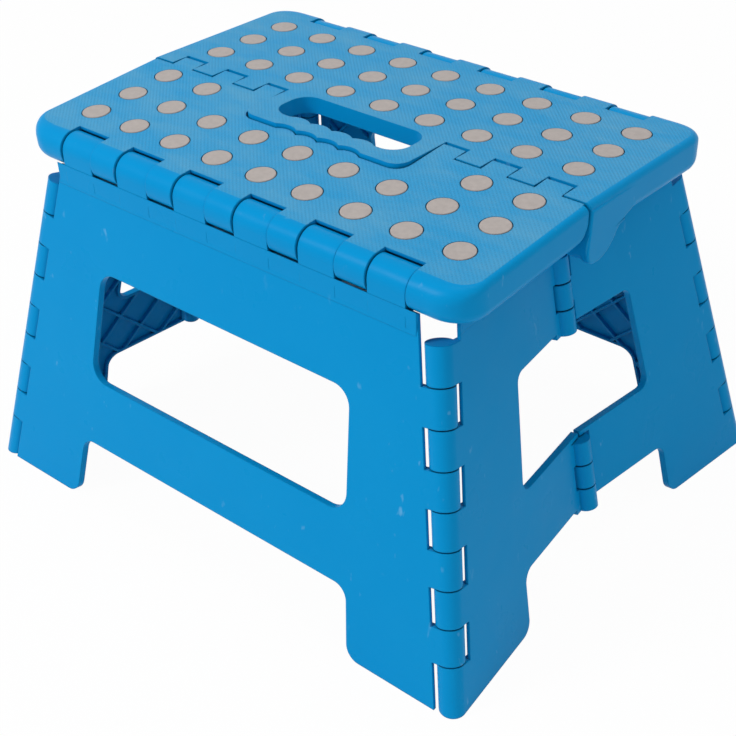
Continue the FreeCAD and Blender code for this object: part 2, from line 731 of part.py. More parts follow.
def platform_cuts(name, front):
    """Slots for the leg's knuckles, the pin bores and the recesses of the grip pads."""
    cuts = ridge_bores(name)
    half = size("edge_knuckle_width") / 2 + size("edge_slot_gap")
    for x in edge_places():
        side = Vector(half, 0, 0)
        low = Vector(x - half, PIN_Y, -2 * size("platform_depth"))
        cuts.append(block(name + "_slot", low, Vector(x + half, 2 * size("half_width"), 1)))
        middle = EDGE_PIN + Vector(x, 0, 0)
        cuts.append(cylinder(name + "_slot_round", "Sizes.edge_knuckle_radius + Sizes.edge_slot_gap",
                             middle - side, middle + side))
        back = Vector(x - half, PIN_Y - size("edge_slot_back"), -size("edge_pin_inset"))
        cuts.append(block(name + "_slot_back", back, Vector(x + half, PIN_Y, 1)))
    reach = edge_pin_half_length()
    cuts.append(cylinder(name + "_edge_bore", "Sizes.pin_radius + Sizes.pin_clearance",
                         EDGE_PIN - Vector(reach, 0, 0), EDGE_PIN + Vector(reach, 0, 0)))
    for place in pad_places(front):
        cuts.append(cylinder(name + "_recess", "Sizes.pad_diameter / 2 + Sizes.pad_gap",
                             place - Vector(0, 0, size("pad_recess")), place + Vector(0, 0, 1)))
    return cuts


def edge_pin_half_length():
    return edge_places()[-1] + size("edge_knuckle_width") / 2 + 3 * size("pin_radius") + size("platform_wall")


def fingers(name, y, radius, low, high):
    """Row of four round finger shapes along the handle."""
    shapes = []
    for i in range(4):
        x = (i - 1.5) * size("finger_pitch")
        shapes.append(cylinder(name, radius, Vector(x, y, low), Vector(x, y, high)))
    return shapes


def finger_radius():
    rise, chord = size("finger_rise"), size("finger_pitch") / 2
    return (chord ** 2 + rise ** 2) / (2 * rise)


def make_front_platform():
    name = "front_platform"
    gap = size("handle_gap")
    skin = size("platform_skin")
    half = size("platform_length") / 2
    pieces = platform_blank(name)
    pieces.append(block(name + "_lip", Vector(-half + size("end_round_top"), size("front_edge_inset") - SHIFT, -skin),
                        Vector(half - size("end_round_top"), size("ridge_wall_inset") + 1, 0)))
    pieces += ridge_tabs(name, (0, 2, 4), size("front_tab_reach"))
    length, reach = size("handle_half_length") + gap, size("handle_reach") + gap - SHIFT
    wall = size("platform_wall")
    pieces.append(block(name + "_bay", Vector(-length - wall, size("ridge_wall_inset"), -size("handle_depth") - 2),
                        Vector(length + wall, reach + wall, 0)))
    bay_corners = [("-%f" % length, "-Sizes.handle_reach"), ("%f" % length, "-Sizes.handle_reach"),
                   ("%f" % length, "%f" % reach), ("-%f" % length, "%f" % reach)]
    bay = plate(name + "_bay_opening", bay_corners, "2 * Sizes.platform_depth",
                {2: "handle_corner", 3: "handle_corner"}, lift="1")
    radius = finger_radius()
    centre = size("handle_reach") - SHIFT + radius - size("finger_rise")
    bumps = fingers(name + "_bump", centre, "%f" % (radius - gap), -size("handle_depth") - 2, 0)
    wall_zone = block(name + "_bump_zone", Vector(-length, size("ridge_wall_inset"), -size("platform_depth")),
                      Vector(length, reach + wall, 0))
    bump_row = common(name + "_bump_row", [fuse(name + "_bumps", bumps), wall_zone])
    opened = fuse(name + "_bay_done", [cut(name + "_bay_cut", fuse(name + "_solid", pieces), bay), bump_row])
    cuts = platform_cuts(name, True) + end_noses(name)
    return cut(name + "_done", opened, fuse(name + "_cuts", cuts))


def end_noses(name):
    """What the ends of the front half lose beside the lobes: the corner under a round nose."""
    radius = size("end_nose_radius")
    inset = size("front_edge_inset") - SHIFT
    half = size("platform_length") / 2
    start = tab_span(5)[0] - size("handle_gap") / 2
    noses = []
    for sign in (1, -1):
        low_x, high_x = sorted((sign * start, sign * (half + 1)))
        corner = block(name + "_corner", Vector(low_x, inset - 2, -size("platform_depth") - 1),
                       Vector(high_x, inset + radius, -size("platform_depth") + radius))
        y, z = inset + radius, -size("platform_depth") + radius
        barrel = cylinder(name + "_nose", cell("end_nose_radius"), Vector(low_x - 1, y, z), Vector(high_x + 1, y, z))
        noses.append(cut(name + "_nose_cut", corner, barrel))
    return noses


def make_rear_platform():
    name = "rear_platform"
    skin, depth = size("platform_skin"), size("handle_depth")
    half, start = size("platform_length") / 2, size("ridge_tab_start")
    inner = size("ridge_wall_inset") + 1
    pieces = platform_blank(name)
    lip_end = half - size("end_round_top")
    pieces.append(block(name + "_lip", Vector(-lip_end, size("rear_notch_inset") - SHIFT, -skin),
                        Vector(lip_end, inner, 0)))
    pieces += ridge_tabs(name, (1, 3, 5), size("rear_tab_reach"))
    length, reach = size("handle_half_length"), size("handle_reach") + SHIFT
    front = "-Sizes.handle_reach - " + SHIFT_TEXT
    handle_corners = [("-Sizes.handle_half_length", front), ("Sizes.handle_half_length", front),
                      ("Sizes.handle_half_length", "Sizes.ridge_wall_inset + 3 * Sizes.platform_wall"),
                      ("-Sizes.handle_half_length", "Sizes.ridge_wall_inset + 3 * Sizes.platform_wall")]
    handle = plate(name + "_handle", handle_corners, cell("handle_depth"), {0: "handle_corner", 1: "handle_corner"})
    slot_low, slot_high = "-Sizes.slot_front - " + SHIFT_TEXT, "Sizes.slot_rear - " + SHIFT_TEXT
    slot_corners = [("-Sizes.slot_half_length", slot_low), ("Sizes.slot_half_length", slot_low),
                    ("Sizes.slot_half_length", slot_high), ("-Sizes.slot_half_length", slot_high)]
    slot = plate(name + "_slot_opening", slot_corners, "3 * Sizes.platform_depth",
                 dict.fromkeys(range(4), "slot_corner"), lift="1")
    radius = finger_radius()
    scallops = fingers(name + "_scallop", -reach - radius + size("finger_rise"), "%f" % radius, -2 * depth, 1)
    slot_edge = -size("slot_front") - SHIFT
    grips = fingers(name + "_grip", slot_edge - radius + size("finger_rise"), "%f" % radius, -depth, 0)
    grip_zone = block(name + "_grip_zone", Vector(-length, slot_edge - 1, -depth),
                      Vector(length, slot_edge + size("finger_rise"), 0))
    grip_row = common(name + "_grip_row", [fuse(name + "_grips", grips), grip_zone])
    solid = fuse(name + "_solid", pieces + [handle])
    under = block(name + "_under_handle", Vector(-length + 1, -reach, -3 * size("platform_depth")),
                  Vector(length - 1, size("ridge_wall_inset") + 3 * size("platform_wall"), -depth))
    openings = fuse(name + "_openings", [slot, under])
    handled = fuse(name + "_handled", [cut(name + "_slotted", solid, openings), grip_row])
    return cut(name + "_done", handled, fuse(name + "_cuts", platform_cuts(name, False) + scallops))


def make_pads(name, front):
    """Soft grip pads, one disc in each recess."""
    discs = []
    for place in pad_places(front):
        low = place - Vector(0, 0, size("pad_recess"))
        discs.append(cylinder(name, "Sizes.pad_diameter / 2", low, place + Vector(0, 0, size("pad_proud"))))
    group = add("Part::Compound", name + "_group")
    group.Links = discs
    return group


def pin(name, radius, start, end):
    return cylinder(name, radius, start, end)


def build():
    leg = make_leg()
    keep("front_leg", leg, LEG)
    keep("rear_leg", leg, HALF_TURN * LEG)
    double, single = make_side("double_side", True), make_side("single_side", False)
    flip = add("Part::Mirroring", "single_side_flipped")
    flip.Source = single
    flip.Normal = SIDE.Rotation.inverted().multVec(Vector(0, 1, 0))
    flip.Base = SIDE.inverse().multVec(Vector(0, 0, 0))
    keep("right_front_side", double, SIDE)
    keep("right_rear_side", flip, SIDE)
    keep("left_rear_side", double, HALF_TURN * SIDE)
    keep("left_front_side", flip, HALF_TURN * SIDE)
    keep("front_platform", make_front_platform(), FRONT_HALF)
    keep("rear_platform", make_rear_platform(), REAR_HALF)
    keep("front_grip_pads", make_pads("front_pad", True), FRONT_HALF)
    keep("rear_grip_pads", make_pads("rear_pad", False), REAR_HALF)
    make_pins()


def make_pins():
    """Steel pins of every hinge."""
    reach = Vector(edge_pin_half_length() - 0.5, 0, 0)
    for name, frame in (("front_edge_pin", FRONT_HALF), ("rear_edge_pin", REAR_HALF)):
        keep(name, pin(name + "_rod", cell("pin_radius"), EDGE_PIN - reach, EDGE_PIN + reach), frame)
    end = size("platform_length") / 2 - size("pin_end_wall") - 0.5
    for name, sign in (("right_ridge_pin", 1), ("left_ridge_pin", -1)):
        a = Vector(sign * (size("ridge_tab_start") + size("handle_gap")), 0, 0) + RIDGE_PIN
        keep(name, pin(name + "_rod", cell("pin_radius"), a, Vector(sign * end, 0, 0) + RIDGE_PIN), REAR_HALF)
    low = corner_point(size("pin_end_wall") + 0.5, LEG)
    high = corner_point(corner_top() - 0.5, LEG)
    for name, sign, frame in (("right_front_corner_pin", 1, LEG), ("left_front_corner_pin", -1, LEG),
                              ("left_rear_corner_pin", 1, HALF_TURN * LEG),
                              ("right_rear_corner_pin", -1, HALF_TURN * LEG)):
        keep(name, pin(name + "_rod", cell("pin_radius"), mirrored(low, sign), mirrored(high, sign)), frame)
    for name, frame in (("right", SIDE), ("left", HALF_TURN * SIDE)):
        middle_pins(name, frame)


def middle_pins(name, frame):
    """Lower pin right through its hinge, upper pin as two studs, one in each barrel of the pair."""
    half = 1.5 * size("middle_knuckle") - size("pin_end_wall") - 0.2
    centre = size("middle_lower")
    rod = pin(name + "_lower_rod", cell("small_pin_radius"), middle_point(centre - half), middle_point(centre + half))
    keep(name + "_lower_middle_pin", rod, frame)
    inner = size("middle_knuckle") / 2 + size("middle_axial_gap") / 2
    centre = size("middle_upper")
    studs = []
    for sign in (1, -1):
        studs.append(pin(name + "_stud", cell("small_pin_radius"), middle_point(centre + sign * inner),
                         middle_point(centre + sign * half)))
    group = add("Part::Compound", name + "_studs")
    group.Links = studs
    keep(name + "_upper_middle_studs", group, frame)


def check_and_write():
    doc.recompute()
    for obj in doc.Objects:
        if "Invalid" in obj.State or "Error" in obj.State:
            raise RuntimeError("object failed: " + obj.Name)
    os.makedirs("parts", exist_ok=True)
    for part in PARTS:
        shape = part.Shape
        if shape.isNull() or not shape.isValid():
            raise RuntimeError("bad shape: " + part.Label)
        print("%-24s solids %2d volume %10.1f" % (part.Label, len(shape.Solids), shape.Volume))
        shape.exportStep("parts/%s.step" % part.Label)


build()
check_and_write()
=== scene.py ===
"""Looks of a folding step stool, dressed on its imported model, with its studio."""

import json
import math

import bmesh
import bpy
from bpy.props import BoolProperty, FloatProperty, FloatVectorProperty, IntProperty, PointerProperty
from bpy.types import Operator, Panel, PropertyGroup
from mathutils import Matrix, Vector


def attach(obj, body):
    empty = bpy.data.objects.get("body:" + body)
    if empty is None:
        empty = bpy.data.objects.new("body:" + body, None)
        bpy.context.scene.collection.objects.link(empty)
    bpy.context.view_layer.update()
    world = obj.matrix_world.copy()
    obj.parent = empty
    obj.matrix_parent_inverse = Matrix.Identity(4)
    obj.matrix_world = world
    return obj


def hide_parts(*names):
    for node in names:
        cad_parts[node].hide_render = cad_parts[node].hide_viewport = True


bl_info = {
    "name": "Folding Step Stool",
    "version": (1, 0, 0),
    "blender": (4, 5, 0),
    "location": "View3D > Sidebar > Stool",
    "description": "Dresses a folding step stool and sets up its studio",
    "category": "Object",
}

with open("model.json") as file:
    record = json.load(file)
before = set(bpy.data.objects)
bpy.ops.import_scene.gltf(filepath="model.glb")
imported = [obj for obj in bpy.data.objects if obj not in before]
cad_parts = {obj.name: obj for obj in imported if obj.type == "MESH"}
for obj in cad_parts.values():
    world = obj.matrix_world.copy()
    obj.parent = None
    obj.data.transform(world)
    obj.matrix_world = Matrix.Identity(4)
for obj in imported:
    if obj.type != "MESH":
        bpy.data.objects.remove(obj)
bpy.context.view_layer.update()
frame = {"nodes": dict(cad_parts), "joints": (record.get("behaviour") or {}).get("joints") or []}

PLATFORM_NODES = ("front_platform", "rear_platform")
LEG_NODES = ("front_leg", "rear_leg")
SIDE_NODES = ("right_front_side", "right_rear_side", "left_rear_side", "left_front_side")
PIN_NODES = tuple(name for name in frame["nodes"] if name.endswith(("_pin", "_studs")))

# Sizes that follow the part's source, in metres and degrees. The edge pin's height is along the leg's face.
PLATFORM_END = 0.15
RIDGE_PIN_DEPTH = 0.022
HALF_SLOPE = 2.0
LEG_TILT = 11.744196
LEG_FOOT = 0.1446
EDGE_PIN_HEIGHT = 0.20903

# Pads of the front half's first row that are nearer to the middle make way for the handle.
HANDLE_CLEAR = 0.07

# A side half's outer face in the right front corner, and how the other halves are mirrored from it.
SIDE_FOOT = (0.17580737, -0.13692919, 0.0)
SIDE_LEVEL = (-0.1129532, 0.99360031, 0.0)
SIDE_UP = (-0.17553413, -0.01995485, 0.98427109)
SIDE_OUT = (0.97797206, 0.11117657, 0.17666473)
SIDE_WAYS = {"right_front_side": (1.0, 1.0), "right_rear_side": (1.0, -1.0),
             "left_rear_side": (-1.0, -1.0), "left_front_side": (-1.0, 1.0)}

# Outlines of the scene's own trim, in metres: across and up a side half, down and out from a leg's pin,
# and across and up from the ridge for a flap.
SIDE_HEAD = ((0.0487, 0.1862), (0.0800, 0.1862), (0.0740, 0.1950), (0.0507, 0.1950))
LEG_LIP = ((0.0210, 0.00002), (0.0185, 0.00024), (0.0165, 0.00071), (0.0085, 0.00253),
           (0.0099, -0.0003), (0.0210, -0.0003))
LEG_LIP_HALF = 0.1234
FLAP = ((-0.0084, -0.0034), (-0.0114, -0.0334), (0.0088, -0.0334), (0.0185, -0.0205),
        (0.044, -0.0130), (0.044, -0.0036))

# Name, place, size in metres and power in watts of each lamp.
LAMPS = (("key_lamp", (-0.9, -1.5, 1.5), 0.7, 22.0),
         ("top_lamp", (0.0, 0.2, 2.0), 1.2, 9.0),
         ("fill_lamp", (1.7, -0.5, 0.7), 1.0, 2.5))


class PlasticSettings(PropertyGroup):
    """Moulded plastic of the platform, legs and sides."""

    colour: FloatVectorProperty(
        name="Colour", description="Main colour of the plastic", subtype="COLOR", size=3,
        min=0.0, max=1.0, default=(0.001, 0.292, 0.65))
    cloud: FloatVectorProperty(
        name="Cloud Colour", description="Colour of the faint clouds in the plastic", subtype="COLOR",
        size=3, min=0.0, max=1.0, default=(0.003, 0.31, 0.67))
    # Painted sheen: the grained top takes these paler colours in place of the sheen its grain catches from
    # the lamps; the palest share lies in clouds and streaks.
    tread_sheen: FloatVectorProperty(
        name="Tread Colour", description="Colour of the grained top", subtype="COLOR", size=3,
        min=0.0, max=1.0, default=(0.034, 0.325, 0.635))
    tread_sheen_pale: FloatVectorProperty(
        name="Pale Tread Colour", description="Colour of the grained top where it is most hazy",
        subtype="COLOR", size=3, min=0.0, max=1.0, default=(0.085, 0.36, 0.61))
    tread_pitch: FloatProperty(
        name="Tread Pitch", description="Pitch of the fine diamond grain on top", unit="LENGTH",
        min=0.0002, max=0.01, default=0.0018)
    scuff: FloatVectorProperty(
        name="Scuff Colour", description="Colour of rubbed spots", subtype="COLOR", size=3,
        min=0.0, max=1.0, default=(0.16, 0.47, 0.78))
    # Painted shade: this colour is mixed in where the surface is closed in, in seams, gaps round the pads and
    # inside corners, in place of the shade that falls there.
    seam: FloatVectorProperty(
        name="Shading Colour", description="Colour of the dirt that gathers in gaps", subtype="COLOR", size=3,
        min=0.0, max=1.0, default=(0.0, 0.035, 0.1))
    roughness: FloatProperty(
        name="Roughness", description="Roughness of the moulded skin", min=0.0, max=1.0, default=0.30)
    edge_round: FloatProperty(
        name="Edge Rounding", description="Radius that moulding leaves on edges", unit="LENGTH",
        min=0.0, max=0.005, default=0.0009)


class PadSettings(PropertyGroup):
    """Soft pads set in the platform."""

    colour: FloatVectorProperty(
        name="Colour", description="Colour of the pads", subtype="COLOR", size=3,
        min=0.0, max=1.0, default=(0.4, 0.36, 0.34))
    diameter: FloatProperty(
        name="Diameter", description="Diameter of a pad", unit="LENGTH", default=0.0153)
    thickness: FloatProperty(
        name="Thickness", description="Thickness of a pad", unit="LENGTH", default=0.0015)
    proud: FloatProperty(
        name="Proud", description="How far a pad stands above the platform", unit="LENGTH", default=0.0003)
    along: FloatProperty(
        name="Pitch Along", description="Pitch along the platform", unit="LENGTH", default=0.031)
    across: FloatProperty(
        name="Pitch Across", description="Pitch across the platform", unit="LENGTH", default=0.027)
    first_row: FloatProperty(
        name="First Row", description="Distance of the first row from the ridge", unit="LENGTH",
        default=0.021)
    columns: IntProperty(name="Columns", description="Pads in a full row", default=9)
    rows: IntProperty(name="Rows", description="Rows on each half", default=3)


class StageSettings(PropertyGroup):
    """Floor, lamps and camera."""

    floor_colour: FloatVectorProperty(
        name="Floor Colour", description="Colour of the floor", subtype="COLOR", size=3,
        min=0.0, max=1.0, default=(0.9, 0.9, 0.9))
    camera_place: FloatVectorProperty(
        name="Camera Place", description="Where the camera stands", subtype="TRANSLATION", size=3,
        default=(0.45896, -0.51974, 0.53944))
    camera_turn: FloatVectorProperty(
        name="Camera Turn", description="How the camera is turned", subtype="EULER", size=3,
        default=(math.radians(55.076), math.radians(1.7328), math.radians(40.2398)))
    lens: FloatProperty(name="Lens", description="Focal length in millimetres", default=69.76)
    show_floor: BoolProperty(name="Show Floor", description="Put a floor under the stool", default=True)


class Nodes:
    """Small helper that adds and joins shader nodes of one material."""

    def __init__(self, name):
        self.material = bpy.data.materials.new(name)
        self.material.use_nodes = True
        self.tree = self.material.node_tree
        self.shader = self.tree.nodes["Principled BSDF"]
        places = self.add("ShaderNodeTexCoord")
        self.coordinates = places.outputs["Object"]
        self.facing = places.outputs["Normal"]

    def add(self, kind, **values):
        node = self.tree.nodes.new(kind)
        for key, value in values.items():
            setattr(node, key, value)
        return node

    def join(self, output, socket):
        self.tree.links.new(output, socket)

    def mapped(self, scale, turn=0.0):
        """Object coordinates, turned about the upright and stretched."""
        node = self.add("ShaderNodeMapping")
        node.inputs["Scale"].default_value = scale
        node.inputs["Rotation"].default_value = (0.0, 0.0, math.radians(turn))
        self.join(self.coordinates, node.inputs["Vector"])
        return node.outputs["Vector"]

    def noise(self, scale, detail=2.0, roughness=0.5, vector=None):
        node = self.add("ShaderNodeTexNoise")
        node.inputs["Scale"].default_value = scale
        node.inputs["Detail"].default_value = detail
        node.inputs["Roughness"].default_value = roughness
        self.join(vector or self.coordinates, node.inputs["Vector"])
        return node.outputs["Fac"]

    def stripes(self, pitch, turn):
        """Even stripes of the given pitch, turned about the upright."""
        node = self.add("ShaderNodeTexWave", wave_type="BANDS", bands_direction="X")
        node.inputs["Scale"].default_value = math.pi / (10.0 * pitch)
        self.join(self.mapped((1.0, 1.0, 1.0), turn), node.inputs["Vector"])
        return node.outputs["Fac"]

    def span(self, source, low, high, to_low=0.0, to_high=1.0):
        """Stretch part of a value's range to another range."""
        node = self.add("ShaderNodeMapRange")
        for key, value in (("From Min", low), ("From Max", high), ("To Min", to_low), ("To Max", to_high)):
            node.inputs[key].default_value = value
        self.join(source, node.inputs["Value"])
        return node.outputs["Result"]

    def multiply(self, first, second):
        node = self.add("ShaderNodeMath", operation="MULTIPLY")
        self.join(first, node.inputs[0])
        self.join(second, node.inputs[1])
        return node.outputs["Value"]

    def mix(self, factor, first, second):
        """Mix of two colours, each an output or a plain colour."""
        node = self.add("ShaderNodeMix", data_type="RGBA")
        self.join(factor, node.inputs["Factor"])
        colours = [socket for socket in node.inputs if socket.type == "RGBA"]
        for socket, colour in zip(colours, (first, second)):
            if hasattr(colour, "is_linked"):
                self.join(colour, socket)
            else:
                socket.default_value = (*colour, 1.0)
        return [socket for socket in node.outputs if socket.type == "RGBA"][0]

    def bump(self, height, strength, distance, normal=None):
        node = self.add("ShaderNodeBump")
        node.inputs["Strength"].default_value = strength
        node.inputs["Distance"].default_value = distance
        self.join(height, node.inputs["Height"])
        if normal:
            self.join(normal, node.inputs["Normal"])
        return node.outputs["Normal"]


def plastic_colour(nodes, settings, clouds):
    """Blue with faint clouds."""
    cloud = nodes.span(nodes.noise(16.0, 4.0, 0.6), 0.42, 0.72, 0.0, clouds)
    return nodes.mix(cloud, settings.colour, settings.cloud)


def rubbed_spots(nodes):
    """Share of small rubbed specks, which lie in a few patches."""
    patches = nodes.span(nodes.noise(14.0, 3.0), 0.46, 0.6)
    grains = nodes.noise(170.0, 2.0, 0.6, nodes.mapped((1.0, 1.0, 0.45), 20.0))
    return nodes.multiply(patches, nodes.span(grains, 0.68, 0.75, 0.0, 0.6))


def finish_plastic(nodes, settings, colour, roughness, fine):
    """Join up the shader of a plastic: painted shade in gaps and creases, soft edges, slight waves and then
    the fine relief.
    """
    shader = nodes.shader
    # Painted shade: ambient occlusion darkens the colour towards the gap colour in seams, recesses and
    # creases, in place of the shade that falls there.
    gaps = nodes.add("ShaderNodeAmbientOcclusion", samples=4)
    gaps.inputs["Distance"].default_value = 0.003
    shadow = nodes.span(gaps.outputs["AO"], 0.12, 0.55, 0.9, 0.0)
    nodes.join(nodes.mix(shadow, colour, settings.seam), shader.inputs["Base Color"])
    nodes.join(roughness, shader.inputs["Roughness"])
    shader.inputs["IOR"].default_value = 1.5
    shader.inputs["Specular IOR Level"].default_value = 0.04
    rounded = nodes.add("ShaderNodeBevel", samples=4)
    rounded.inputs["Radius"].default_value = settings.edge_round
    waves = nodes.bump(nodes.noise(38.0, 2.0), 0.14, 0.002, rounded.outputs["Normal"])
    height, strength, depth = fine
    nodes.join(nodes.bump(height, strength, depth, waves), shader.inputs["Normal"])
    return nodes.material


def leg_plastic(settings):
    """Smooth moulded plastic with rubbed specks."""
    nodes = Nodes("leg_plastic")
    colour = nodes.mix(rubbed_spots(nodes), plastic_colour(nodes, settings, 0.4), settings.scuff)
    low, high = settings.roughness - 0.04, settings.roughness + 0.06
    soft = nodes.span(nodes.noise(45.0, 3.0), 0.3, 0.7, low, high)
    return finish_plastic(nodes, settings, colour, soft, (nodes.noise(1500.0, 2.0), 0.12, 0.00015))


def platform_plastic(settings):
    """The same plastic with a grained top: fine diamonds in relief, and a painted hazy sheen with pale clouds
    and streaks.
    """
    nodes = Nodes("platform_plastic")
    smooth = nodes.mix(rubbed_spots(nodes), plastic_colour(nodes, settings, 0.6), settings.scuff)
    # Painted sheen: faces that point up in the object's own frame get the paler tread colours, clouded by
    # haze noise, in place of the light their grain catches.
    upwards = nodes.add("ShaderNodeSeparateXYZ")
    nodes.join(nodes.facing, upwards.inputs["Vector"])
    top = nodes.span(upwards.outputs["Z"], 0.990, 0.9985)
    haze = nodes.noise(26.0, 5.0, 0.62, nodes.mapped((1.0, 2.2, 1.0)))
    tread_sheen = nodes.mix(nodes.span(haze, 0.36, 0.70), settings.tread_sheen, settings.tread_sheen_pale)
    colour = nodes.mix(top, smooth, tread_sheen)
    soft = nodes.span(top, 0.0, 1.0, settings.roughness, settings.roughness + 0.16)
    pitch = settings.tread_pitch
    diamonds = nodes.multiply(nodes.stripes(pitch, 45.0), nodes.stripes(pitch, -45.0))
    relief = nodes.multiply(diamonds, top)
    return finish_plastic(nodes, settings, colour, soft, (relief, 0.8, 0.00025))


def pad_rubber(settings):
    """Warm grey rubber with a fine tooth."""
    nodes = Nodes("pad_rubber")
    shader = nodes.shader
    pale = tuple(min(1.0, 1.12 * part) for part in settings.colour)
    shade = nodes.span(nodes.noise(320.0, 3.0, 0.6), 0.35, 0.65)
    nodes.join(nodes.mix(shade, settings.colour, pale), shader.inputs["Base Color"])
    nodes.join(nodes.span(nodes.noise(160.0), 0.3, 0.7, 0.6, 0.75), shader.inputs["Roughness"])
    nodes.join(nodes.bump(nodes.noise(2200.0, 2.0), 0.2, 0.0001), shader.inputs["Normal"])
    return nodes.material


def drawn_steel():
    """Plain drawn wire of the hinge pins."""
    nodes = Nodes("drawn_steel")
    shader = nodes.shader
    shader.inputs["Metallic"].default_value = 1.0
    streaks = nodes.noise(900.0, 3.0, 0.6, nodes.mapped((1.0, 1.0, 0.06)))
    nodes.join(nodes.mix(nodes.span(streaks, 0.3, 0.7), (0.42, 0.42, 0.43), (0.6, 0.6, 0.61)),
               shader.inputs["Base Color"])
    nodes.join(nodes.span(streaks, 0.3, 0.7, 0.25, 0.42), shader.inputs["Roughness"])
    return nodes.material


def background_rays(tree):
    """One for the rays that show the plain background: straight, mirrored or let through."""
    ways = tree.nodes.new("ShaderNodeLightPath")
    seen = ways.outputs["Is Camera Ray"]
    for way in ("Is Glossy Ray", "Is Transmission Ray"):
        either = tree.nodes.new("ShaderNodeMath")
        either.operation = "MAXIMUM"
        tree.links.new(seen, either.inputs[0])
        tree.links.new(ways.outputs[way], either.inputs[1])
        seen = either.outputs["Value"]
    return seen


def dress(names, material):
    """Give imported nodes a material."""
    for name in names:
        slots = frame["nodes"][name].data.materials
        slots.clear()
        slots.append(material)


def half_matrix(front):
    """Place of a platform half's surface: origin above the ridge pin, Y outwards, Z off the surface."""
    ridge = next(joint for joint in frame["joints"] if joint["name"] == "ridge_fold")
    pin = Vector(ridge["pos_m"])
    rise = Vector((0.0, 0.0, RIDGE_PIN_DEPTH))
    turn = Matrix.Rotation(math.pi if front else 0.0, 4, "Z")
    fall = Matrix.Rotation(math.radians(-HALF_SLOPE), 4, "X")
    return Matrix.Translation(pin) @ turn @ fall @ Matrix.Translation(rise)


def push(mesh, face, vec):
    """Extrude a face by a vector, and give the parts that moved."""
    moved = bmesh.ops.extrude_face_region(mesh, geom=[face])["geom"]
    bmesh.ops.translate(mesh, vec=vec, verts=[part for part in moved if isinstance(part, bmesh.types.BMVert)])
    return moved


def round_rim(mesh, moved, radius, segments):
    """Round the edges of a face that was pushed out."""
    rim = [part for part in moved if isinstance(part, bmesh.types.BMEdge)]
    bmesh.ops.bevel(mesh, geom=rim, offset=radius, offset_type="OFFSET", segments=segments, profile=0.5,
                    affect="EDGES", material=-1)


def add_piece(name, mesh, material, body):
    """Close a bmesh into a piece that moves with a body."""
    bmesh.ops.recalc_face_normals(mesh, faces=mesh.faces)
    data = bpy.data.meshes.new(name)
    mesh.to_mesh(data)
    mesh.free()
    data.materials.append(material)
    piece = bpy.data.objects.new(name, data)
    bpy.context.scene.collection.objects.link(piece)
    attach(piece, body)
    return piece


def leg_matrix(rear):
    """Place of a leg's outer face: origin at the foot, X along, Y up the face, Z outwards."""
    turn = Matrix.Rotation(math.pi if rear else 0.0, 4, "Z")
    lean = Matrix.Rotation(math.radians(90.0 - LEG_TILT), 4, "X")
    return turn @ Matrix.Translation((0.0, -LEG_FOOT, 0.0)) @ lean


def side_matrix(way):
    """Place of a side half's outer face: origin at the corner's foot, X to the middle, Y up, Z outwards."""
    place = Matrix((SIDE_LEVEL, SIDE_UP, SIDE_OUT)).transposed().to_4x4()
    place.translation = SIDE_FOOT
    return Matrix.Diagonal((way[0], way[1], 1.0, 1.0)) @ place


class STOOL_OT_platform(Operator):
    """Finish the two platform halves in grained plastic."""

    bl_idname = "stool.platform"
    bl_label = "Platform"

    def execute(self, context):
        dress(PLATFORM_NODES, platform_plastic(context.scene.stool_plastic))
        return {"FINISHED"}


class STOOL_OT_legs(Operator):
    """Finish the legs and side halves in smooth plastic."""

    bl_idname = "stool.legs"
    bl_label = "Legs and Sides"

    def execute(self, context):
        dress(LEG_NODES + SIDE_NODES, leg_plastic(context.scene.stool_plastic))
        return {"FINISHED"}


class STOOL_OT_heads(Operator):
    """Raise the upper corner of each side half under the platform's end."""

    bl_idname = "stool.heads"
    bl_label = "Side Heads"

    def execute(self, context):
        for body, way in SIDE_WAYS.items():
            mesh = bmesh.new()
            face = mesh.faces.new([mesh.verts.new((x, y, 0.00003)) for x, y in SIDE_HEAD])
            push(mesh, face, (0.0, 0.0, -0.0018))
            bmesh.ops.transform(mesh, matrix=side_matrix(way), verts=mesh.verts)
            piece = add_piece(body + "_head", mesh, bpy.data.materials["leg_plastic"], body)
        return {"FINISHED"}


class STOOL_OT_lips(Operator):
    """Carry the slopes under the leg's knuckles on as a lip along the leg's head."""

    bl_idname = "stool.lips"
    bl_label = "Leg Lips"

    def execute(self, context):
        for body in LEG_NODES:
            mesh = bmesh.new()
            face = mesh.faces.new([mesh.verts.new((-LEG_LIP_HALF, EDGE_PIN_HEIGHT - down, out))
                                   for down, out in LEG_LIP])
            push(mesh, face, (2.0 * LEG_LIP_HALF, 0.0, 0.0))
            bmesh.ops.transform(mesh, matrix=leg_matrix(body == "rear_leg"), verts=mesh.verts)
            piece = add_piece(body + "_lip", mesh, bpy.data.materials["leg_plastic"], body)
        return {"FINISHED"}


